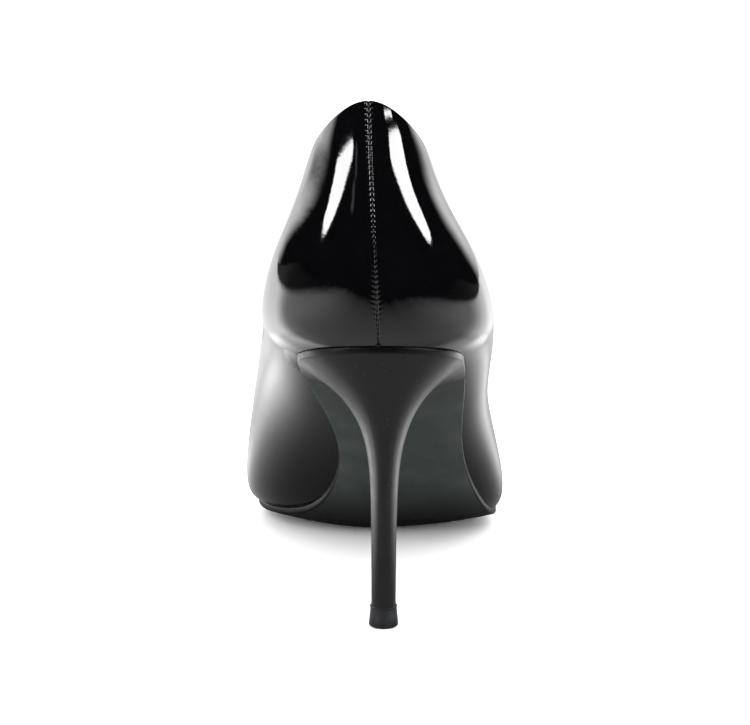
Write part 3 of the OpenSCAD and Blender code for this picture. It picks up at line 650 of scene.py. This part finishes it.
class Nodes:
    """Short names for building one node tree. Sockets are linked and plain values are set."""

    def __init__(self, tree):
        self.tree = tree

    def add(self, kind, values=None, **settings):
        node = self.tree.nodes.new(kind)
        for key, value in settings.items():
            setattr(node, key, value)
        for key, value in (values or {}).items():
            if isinstance(value, bpy.types.NodeSocket):
                self.tree.links.new(value, node.inputs[key])
            else:
                node.inputs[key].default_value = value
        return node

    def math(self, operation, a, b=0.0, clamp=False):
        return self.add("ShaderNodeMath", {0: a, 1: b}, operation=operation, use_clamp=clamp).outputs[0]

    def vector(self, operation, a, b=(0, 0, 0), output=0):
        return self.add("ShaderNodeVectorMath", {0: a, 1: b}, operation=operation).outputs[output]

    def span(self, value, low, high, to_low=0.0, to_high=1.0, smooth_step=True):
        """Value carried from low..high to to_low..to_high, and held at both ends."""
        kind = "SMOOTHSTEP" if smooth_step else "LINEAR"
        values = {0: value, 1: low, 2: high, 3: to_low, 4: to_high}
        return self.add("ShaderNodeMapRange", values, interpolation_type=kind).outputs[0]

    def blend(self, share, a, b):
        """Number carried from a to b by share."""
        return self.math("ADD", a, self.math("MULTIPLY", share, self.math("SUBTRACT", b, a)))

    def mix(self, share, a, b):
        """Colour carried from a to b by share."""
        node = self.add("ShaderNodeMix", data_type="RGBA")
        for socket, value in ((node.inputs[0], share), (node.inputs[6], a), (node.inputs[7], b)):
            if isinstance(value, bpy.types.NodeSocket):
                self.tree.links.new(value, socket)
            else:
                socket.default_value = value
        return node.outputs[2]

    def place(self):
        """Place on the object, in metres."""
        return self.add("ShaderNodeTexCoord").outputs["Object"]

    def noise(self, per_mm, detail=3.0, roughness=0.5, stretch=(1, 1, 1)):
        """Noise from 0 to 1 with about per_mm grains in a millimetre."""
        at = self.vector("MULTIPLY", self.place(), tuple(per_mm / MM * k for k in stretch))
        values = {"Vector": at, "Scale": 1.0, "Detail": detail, "Roughness": roughness}
        return self.add("ShaderNodeTexNoise", values).outputs[0]

    def cells(self, per_mm, output="Distance", **settings):
        """Random cells, about per_mm of them in a millimetre."""
        at = self.vector("MULTIPLY", self.place(), (per_mm / MM,) * 3)
        return self.add("ShaderNodeTexVoronoi", {"Vector": at, "Scale": 1.0}, **settings).outputs[output]

    def bump(self, height, depth_mm, under=None):
        """Normal bent by a height of depth_mm, over an earlier bump if there is one."""
        values = {"Height": height, "Strength": 1.0, "Distance": depth_mm * MM}
        if under is not None:
            values["Normal"] = under
        return self.add("ShaderNodeBump", values).outputs[0]


MATERIALS = {}


def material(build):
    """Makes each material once. build fills the node tree and returns the principled shader's inputs."""
    def get():
        name = build.__name__
        if name not in MATERIALS:
            made = bpy.data.materials.new(name)
            made.use_nodes = True
            tree = made.node_tree
            tree.nodes.clear()
            n = Nodes(tree)
            shader = n.add("ShaderNodeBsdfPrincipled", build(n))
            n.add("ShaderNodeOutputMaterial", {"Surface": shader.outputs[0]})
            MATERIALS[name] = made
        return MATERIALS[name]
    return get


@material
def patent_leather(n):
    """Black leather under a clear hard gloss coat, with faint orange peel and a few dust specks."""
    peel = n.noise(0.35, 2.0)
    fine = n.noise(1.6, 2.0)
    dust = n.span(n.noise(0.9, 2.0), 0.72, 0.8)
    polish = n.span(n.noise(0.2, 4.0), 0.3, 0.7, 0.03, 0.055)
    return {
        "Base Color": n.mix(n.noise(0.12, 3.0), (0.0008, 0.0007, 0.0010, 1), (0.0018, 0.0016, 0.002, 1)),
        "Roughness": n.math("ADD", polish, n.math("MULTIPLY", dust, 0.1)),
        "IOR": 1.5,
        "Normal": n.bump(fine, 0.0025, n.bump(peel, 0.012)),
    }


@material
def thread(n):
    """Waxed black thread: fine twisted strands with a soft sheen."""
    strands = n.noise(3.0, 2.0, stretch=(2.2, 1, 0.5))
    return {
        "Base Color": n.mix(strands, (0.008, 0.008, 0.009, 1), (0.05, 0.048, 0.05, 1)),
        "Roughness": 0.42,
        "Normal": n.bump(strands, 0.06),
    }


@material
def lining_leather(n):
    """Beige kid leather with fine pores and a little uneven dye."""
    pores = n.cells(2.2)
    grain = n.noise(1.1, 5.0, 0.6)
    tone = n.noise(0.05, 4.0)
    colour = n.mix(tone, (0.42, 0.29, 0.185, 1), (0.56, 0.41, 0.28, 1))
    return {
        "Base Color": n.mix(n.span(pores, 0.0, 0.35), (0.33, 0.22, 0.14, 1), colour),
        "Roughness": n.span(grain, 0.3, 0.7, 0.42, 0.6),
        "Normal": n.bump(pores, 0.03, n.bump(grain, 0.06)),
    }


@material
def sock_leather(n):
    """Beige sock leather, a shade darker, brushed by wear along its middle."""
    pores = n.cells(1.8)
    grain = n.noise(0.9, 5.0, 0.6)
    worn = n.noise(0.04, 3.0, stretch=(1, 0.4, 1))
    colour = n.mix(worn, (0.40, 0.275, 0.17, 1), (0.52, 0.38, 0.25, 1))
    return {
        "Base Color": n.mix(n.span(pores, 0.0, 0.3), (0.3, 0.2, 0.125, 1), colour),
        "Roughness": n.span(worn, 0.3, 0.7, 0.38, 0.55),
        "Normal": n.bump(pores, 0.04, n.bump(grain, 0.08)),
    }


@material
def sole_rubber(n):
    """Dark grey-green moulded rubber: a fine stipple, pale rubbed patches, and painted shade that darkens it
    toward the ground.
    """
    stipple = n.noise(2.4, 4.0, 0.7)
    rubbed = n.span(n.noise(0.05, 5.0, 0.6), 0.45, 0.75)
    streaks = n.noise(0.2, 4.0, 0.65, (1.5, 0.35, 1))
    dark = n.mix(streaks, (0.022, 0.027, 0.026, 1), (0.031, 0.037, 0.035, 1))
    worn = n.mix(n.math("MULTIPLY", rubbed, 0.55), dark, (0.05, 0.056, 0.053, 1))
    height = n.add("ShaderNodeSeparateXYZ", {0: n.place()}).outputs["Z"]
    return {
        # Painted shade: the colour darkens to near black over the lowest 26 mm, toward the ground.
        "Base Color": n.mix(n.span(height, 0.0, 0.026), (0.003, 0.0035, 0.0035, 1), worn),
        "Roughness": n.span(stipple, 0.3, 0.7, 0.42, 0.56),
        "IOR": 1.3,
        "Normal": n.bump(stipple, 0.025, n.bump(streaks, 0.03)),
    }


@material
def edge_ink(n):
    """The sole's edge: black edge ink, glossy where it is thick, with tiny chips."""
    drag = n.noise(0.25, 4.0, 0.6, (1, 1, 3))
    chips = n.span(n.noise(1.2, 3.0), 0.74, 0.8)
    return {
        "Base Color": n.mix(chips, (0.0015, 0.0015, 0.0018, 1), (0.05, 0.05, 0.05, 1)),
        "Roughness": n.span(drag, 0.3, 0.7, 0.3, 0.42),
        "IOR": 1.25,
        "Normal": n.bump(drag, 0.015),
    }


@material
def heel_wrap(n):
    """Smooth black heel covering with light specks and hair-fine scuffs."""
    specks = n.span(n.cells(0.42), 0.045, 0.07, 1.0, 0.0)
    scuffs = n.span(n.noise(0.7, 3.0, 0.6, (3, 3, 0.25)), 0.7, 0.78)
    mark = n.math("MAXIMUM", n.math("MULTIPLY", specks, 0.5), n.math("MULTIPLY", scuffs, 0.1))
    satin = n.span(n.noise(0.3, 4.0), 0.3, 0.7, 0.3, 0.36)
    return {
        "Base Color": n.mix(mark, (0.0085, 0.0085, 0.009, 1), (0.12, 0.12, 0.12, 1)),
        "Roughness": n.math("ADD", satin, n.math("MULTIPLY", mark, 0.3)),
        "IOR": 1.2,
        "Normal": n.bump(n.noise(0.5, 3.0), 0.012),
    }


@material
def top_piece_rubber(n):
    """Hard blue-black rubber with a fine moulded grain and rubbed edges."""
    grain = n.noise(4.0, 4.0, 0.65)
    rubbed = n.span(n.noise(0.6, 4.0), 0.5, 0.75)
    return {
        "Base Color": n.mix(rubbed, (0.003, 0.0035, 0.005, 1), (0.008, 0.009, 0.012, 1)),
        "Roughness": n.span(grain, 0.3, 0.7, 0.45, 0.65),
        "Specular IOR Level": 0.35,
        "Normal": n.bump(grain, 0.04),
    }


def weave(n, pitch, depth):
    """Height of a plain weave and its bump. pitch is in millimetres."""
    turn = 2 * np.pi / (pitch * MM)
    at = n.vector("MULTIPLY", n.place(), (turn,) * 3)
    part = n.add("ShaderNodeSeparateXYZ", {0: at}).outputs
    warp = n.math("SINE", n.math("ADD", part["X"], part["Y"]))
    weft = n.math("SINE", part["Z"])
    height = n.math("MULTIPLY", warp, weft)
    return height, n.bump(height, depth)


def cloth(n, low, high, pitch):
    """Plain woven cloth with an uneven tone."""
    height, normal_out = weave(n, pitch, 0.08)
    tone = n.math("ADD", n.math("MULTIPLY", height, 0.35), n.noise(0.4, 3.0), clamp=True)
    return {"Base Color": n.mix(tone, low, high), "Roughness": 0.85, "Normal": normal_out}


@material
def reinforcing_tape(n):
    return cloth(n, (0.35, 0.34, 0.31, 1), (0.62, 0.6, 0.56, 1), 0.5)


@material
def backing_cloth(n):
    return cloth(n, (0.1, 0.1, 0.1, 1), (0.22, 0.22, 0.21, 1), 0.7)


def fibre(n, low, high, per_mm):
    """Pressed fibre board: short fibres over a mottled ground."""
    fibres = n.noise(per_mm, 6.0, 0.75, (1, 0.3, 1))
    ground = n.noise(0.15, 4.0)
    tone = n.math("ADD", n.math("MULTIPLY", fibres, 0.6), n.math("MULTIPLY", ground, 0.4))
    return {
        "Base Color": n.mix(tone, low, high),
        "Roughness": n.span(fibres, 0.3, 0.7, 0.7, 0.95),
        "Normal": n.bump(fibres, 0.12),
    }


@material
def stiffener_board(n):
    return fibre(n, (0.3, 0.27, 0.22, 1), (0.5, 0.46, 0.38, 1), 1.2)


@material
def insole_fibre(n):
    return fibre(n, (0.22, 0.13, 0.075, 1), (0.42, 0.28, 0.17, 1), 1.0)


@material
def shank_fibre(n):
    return fibre(n, (0.1, 0.08, 0.06, 1), (0.22, 0.18, 0.14, 1), 0.9)


@material
def cork_filler(n):
    """Ground cork bound with latex."""
    crumbs = n.cells(0.9, "Color")
    seams = n.span(n.cells(0.9, feature="DISTANCE_TO_EDGE"), 0.0, 0.08)
    cork = n.mix(crumbs, (0.28, 0.15, 0.07, 1), (0.52, 0.33, 0.18, 1))
    return {
        "Base Color": n.mix(seams, (0.09, 0.05, 0.03, 1), cork),
        "Roughness": 0.9,
        "Normal": n.bump(seams, 0.15),
    }


@material
def foam(n):
    """Open-cell foam."""
    cell = n.cells(2.5)
    return {
        "Base Color": n.mix(n.span(cell, 0.1, 0.6), (0.45, 0.42, 0.3, 1), (0.8, 0.77, 0.63, 1)),
        "Roughness": 0.95,
        "Normal": n.bump(cell, 0.15),
    }


def metal(n, colour, rough, stretch):
    """Dull metal with brush marks along one way."""
    brushed = n.noise(2.0, 4.0, 0.6, stretch)
    return {
        "Base Color": n.mix(n.noise(0.2, 3.0), colour, tuple(0.7 * c for c in colour[:3]) + (1,)),
        "Metallic": 1.0,
        "Roughness": n.span(brushed, 0.3, 0.7, rough, rough + 0.2),
        "Normal": n.bump(brushed, 0.02),
    }


@material
def spring_steel(n):
    return metal(n, (0.36, 0.38, 0.42, 1), 0.28, (4, 0.2, 1))


@material
def fastener_steel(n):
    return metal(n, (0.6, 0.6, 0.6, 1), 0.22, (1, 1, 3))


@material
def heel_plastic(n):
    """Moulded black plastic with faint flow marks."""
    flow = n.noise(0.1, 5.0, 0.6, (1, 1, 0.4))
    return {
        "Base Color": n.mix(flow, (0.008, 0.008, 0.0085, 1), (0.009, 0.009, 0.0095, 1)),
        "Roughness": n.span(flow, 0.3, 0.7, 0.3, 0.36),
        "IOR": 1.2,
        "Normal": n.bump(n.noise(0.5, 3.0), 0.012),
    }


HIDDEN_NODES = {
    "back_seam_tape": reinforcing_tape,
    "topline_tape": reinforcing_tape,
    "upper_backing": backing_cloth,
    "heel_counter": stiffener_board,
    "toe_puff": stiffener_board,
    "insole_board": insole_fibre,
    "shank_board": shank_fibre,
    "steel_shank": spring_steel,
    "shank_rivets": fastener_steel,
    "bottom_filler": cork_filler,
    "heel_pad": foam,
    "ball_pad": foam,
    "heel_block": heel_plastic,
    "heel_pin": fastener_steel,
    "heel_screw": fastener_steel,
    "heel_nails": fastener_steel,
    "top_piece_pin": top_piece_rubber,
}


def dress_hidden_nodes():
    for name, make in HIDDEN_NODES.items():
        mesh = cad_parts[name].data
        mesh.materials.clear()
        mesh.materials.append(make())


# ---- studio ----

TABLE_NEAR = -0.5     # the table ends here, toward the camera, so the counter reflects its edge
TABLE_FAR = 4.0
TABLE_HALF_W = 4.0
TABLE_Z = -0.0001     # just below the tread


def table():
    """A plain flat table top."""
    bm = bmesh.new()
    near = [(-TABLE_HALF_W, TABLE_NEAR), (TABLE_HALF_W, TABLE_NEAR)]
    far = [(TABLE_HALF_W, TABLE_FAR), (-TABLE_HALF_W, TABLE_FAR)]
    top = [bm.verts.new((x, y, TABLE_Z)) for x, y in near + far]
    bm.faces.new(top)
    bmesh.ops.subdivide_edges(bm, edges=bm.edges[:], cuts=8, use_grid_fill=True)
    mesh = bpy.data.meshes.new("table")
    bm.to_mesh(mesh)
    bm.free()
    obj = bpy.data.objects.new("table", mesh)
    mesh.materials.append(table_top())
    bpy.context.scene.collection.objects.link(obj)


def painted_table_reflection(n):
    """Painted reflection and shade: the brightness of the table as the gloss sees it, not its own colour.
    Lengths are in metres from the heel tip:
    x across, y ahead, off to either side. turn is 0 straight out to the side of the heel tip and 1 straight
    ahead."""
    part = n.add("ShaderNodeSeparateXYZ", {0: n.place()}).outputs
    x, y, off = part["X"], part["Y"], n.math("ABSOLUTE", part["X"])

    # Painted shade: toward the camera the table fades to black, with an uneven border.
    ripple = n.noise(0.03, 3.0, 0.6, (1, 0.02, 1))
    dark_to = n.math("ADD", n.span(x, -0.3, 0.3, -0.35, -0.29), n.span(off, 0.0, 0.2, 0.05, 0.0))
    dark_to = n.math("ADD", dark_to, n.math("MULTIPLY", n.math("SUBTRACT", ripple, 0.5), 0.08))
    fade = n.span(x, -0.2, 0.2, -0.10, -0.16)
    away = n.math("MAXIMUM", n.math("SUBTRACT", y, dark_to), 0.0)
    rise = n.math("SUBTRACT", 1.0, n.math("EXPONENT", n.math("DIVIDE", away, fade)))

    # Painted shade: behind the heel tip it is dimmer along the middle.
    front = n.span(off, 0.04, 0.26, 0.5, 1.0)

    # Painted light: ahead of the tip it is brightest to the side, more so on the inner side of the foot.
    turn = n.math("DIVIDE", y, n.vector("LENGTH", n.place(), output=1))
    inner = n.span(turn, 0.0, 0.34, 1.24, 3.4)
    inner = n.math("MULTIPLY", inner, n.span(turn, 0.37, 1.0, 1.0, 0.19, False))
    outer = n.span(turn, 0.0, 0.5, 1.0, 2.3)
    outer = n.math("MULTIPLY", outer, n.span(turn, 0.7, 1.05, 1.0, 0.25))
    outer = n.math("MULTIPLY", outer, n.span(off, 0.08, 0.16, 0.75, 1.0))
    beyond = n.blend(n.span(x, -0.03, 0.03), inner, outer)

    # Painted shade and light close to the shoe: it is dim under the sole and brighter beside the ball.
    peak = n.math("MULTIPLY", n.span(y, 0.06, 0.12, 0.62, 1.3), n.span(y, 0.15, 0.24, 1.0, 0.55))
    near = n.blend(n.span(off, 0.09, 0.13), n.blend(n.span(off, 0.035, 0.09), 0.25, peak), 0.9)
    beyond = n.math("MULTIPLY", beyond, near)

    level = n.blend(n.span(y, -0.05, 0.02), front, beyond)
    ends = n.span(n.math("SUBTRACT", off, y), 0.48, 0.74, 1.0, 0.04)
    return n.math("MULTIPLY", n.math("MULTIPLY", rise, level), ends)


@material
def table_top(n):
    """Plain near-white table top, barely uneven. The camera and the gloss each see their own level of it,
    and what the gloss sees is painted reflection and shade.
    """
    tone = n.noise(0.004, 3.0)
    plain = n.mix(tone, (0.87, 0.87, 0.87, 1), (0.89, 0.89, 0.89, 1))
    exposed = n.mix(tone, (1.17, 1.17, 1.18, 1), (1.2, 1.2, 1.21, 1))
    # Painted reflection and shade, in place of the table's own colour where the gloss sees it.
    gloss = painted_table_reflection(n)
    seen = n.add("ShaderNodeCombineColor", {i: gloss for i in range(3)}).outputs[0]
    ray = n.add("ShaderNodeLightPath").outputs
    colour = n.mix(ray["Is Camera Ray"], n.mix(ray["Is Glossy Ray"], plain, seen), exposed)
    return {"Base Color": colour, "Roughness": 0.8, "Specular IOR Level": 0.0}


# Lamps seen in the gloss, as capsules on the sky: azimuth from behind the camera and elevation of both ends
# in degrees, the radius at each end, softness, and brightness
LAMPS = [
    ((-37, 20), (-61, 8.5), 0.05, 0.13, 0.03, 24.0),
    ((46, 21), (67, 14), 0.07, 0.155, 0.03, 24.0),
    ((42, 29.5), (60, 27.5), 0.03, 0.03, 0.02, 24.0),
    ((-28, 20.5), (-27, 16), 0.05, 0.04, 0.04, 0.9),
    ((-30, 12.5), (-29, 8), 0.05, 0.05, 0.04, 0.8),
]
AMBIENT = 2.1                         # the world, to the camera and to soft light
GLOSS_DARK = 0.004                    # the sky in the gloss, where it is dark
GLOSS_SIDE, GLOSS_BACK = 4.8, 1.2     # and its wall, beside and ahead of the shoe


def toward(azimuth, elevation):
    """Unit vector toward a place on the sky."""
    a, e = np.radians(azimuth), np.radians(elevation)
    return Vector((np.sin(a) * np.cos(e), -np.cos(a) * np.cos(e), np.sin(e)))


def capsule(n, way, start, end, r_start, r_end, soft):
    """1 inside a capsule on the sky and 0 outside it."""
    a, b = toward(*start), toward(*end)
    run = b - a
    from_a = n.vector("SUBTRACT", way, tuple(a))
    along = n.vector("DOT_PRODUCT", from_a, tuple(run), output=1)
    share = n.math("DIVIDE", along, run.length_squared, clamp=True)
    values = {0: tuple(run), "Scale": share}
    step = n.add("ShaderNodeVectorMath", values, operation="SCALE").outputs[0]
    away = n.vector("LENGTH", n.vector("SUBTRACT", from_a, step), output=1)
    radius = n.span(share, 0.0, 1.0, r_start, r_end, False)
    return n.span(n.math("SUBTRACT", away, radius), -soft, 0.0, 1.0, 0.0)


def gloss_sky(n):
    """Brightness of the sky in the gloss: a wall beside and ahead of the shoe, and the lamps."""
    way = n.vector("NORMALIZE", n.add("ShaderNodeTexCoord").outputs["Generated"])
    part = n.add("ShaderNodeSeparateXYZ", {0: way}).outputs
    start_in = n.span(part["Z"], 0.03, 0.2, 0.66, 0.0)
    start_out = n.span(part["Z"], 0.0, 0.2, 0.75, 0.43, False)
    wall_start = n.blend(n.span(part["X"], -0.1, 0.1), start_in, start_out)
    beside = n.span(n.math("SUBTRACT", part["Y"], wall_start), -0.18, 0.2)
    roof = n.span(part["Z"], 0.48, 0.62, 1.0, 0.0)
    wall = n.math("MULTIPLY", beside, n.span(part["Y"], 0.6, 1.0, GLOSS_SIDE, GLOSS_BACK))
    glow = n.math("ADD", n.math("MULTIPLY", wall, roof), GLOSS_DARK)
    for start, end, r_start, r_end, soft, power in LAMPS:
        lamp = n.math("MULTIPLY", capsule(n, way, start, end, r_start, r_end, soft), power)
        glow = n.math("ADD", glow, lamp)
    return glow


def studio():
    """White to the camera and for soft light, and the darker sky with its lamps in the gloss."""
    world = bpy.data.worlds.new("studio")
    world.use_nodes = True
    tree = world.node_tree
    tree.nodes.clear()
    n = Nodes(tree)
    ray = n.add("ShaderNodeLightPath").outputs
    values = {0: ray["Is Glossy Ray"], 2: AMBIENT, 3: gloss_sky(n)}
    level = n.add("ShaderNodeMix", values, data_type="FLOAT")
    light = n.add("ShaderNodeBackground", {"Color": (1, 1, 1, 1), "Strength": level.outputs[0]})
    n.add("ShaderNodeOutputWorld", {"Surface": light.outputs[0]})
    bpy.context.scene.world = world


def aim(obj, target):
    """Turns a lamp or a camera toward a point."""
    obj.rotation_euler = (Vector(target) - obj.location).to_track_quat("-Z", "Y").to_euler()


def soft_key():
    """A large soft box overhead, hidden from the gloss, for shape on the matt parts and a soft shadow."""
    lamp = bpy.data.lights.new("soft_key", "AREA")
    lamp.shape = "RECTANGLE"
    lamp.size, lamp.size_y = 1.2, 0.8
    lamp.energy = 1.0
    obj = bpy.data.objects.new("soft_key", lamp)
    obj.location = (-0.4, -0.5, 1.6)
    aim(obj, (0, 0.1, 0))
    obj.visible_glossy = False
    bpy.context.scene.collection.objects.link(obj)


CAMERA_AT, CAMERA_AIM = (0.0, -1.1, 0.325), (-0.0026, 0.020, 0.076)     # in metres
CAMERA_LENS, CAMERA_SENSOR = 183.9, 36.0


def camera():
    cam = bpy.data.cameras.new("camera")
    cam.sensor_width = CAMERA_SENSOR
    cam.lens = CAMERA_LENS
    obj = bpy.data.objects.new("camera", cam)
    obj.location = CAMERA_AT
    aim(obj, CAMERA_AIM)
    bpy.context.scene.collection.objects.link(obj)
    bpy.context.scene.camera = obj


upper()
seam_stitches()
lining("quarter_lining", 0.0, QUARTER_END)
lining("vamp_lining", QUARTER_END + LINING_SLIT, LINING_END)
outsole()
sock_lining()
heel_cover()
top_piece()
dress_hidden_nodes()
table()
studio()
soft_key()
camera()
bpy.context.scene.view_settings.view_transform = "Standard"
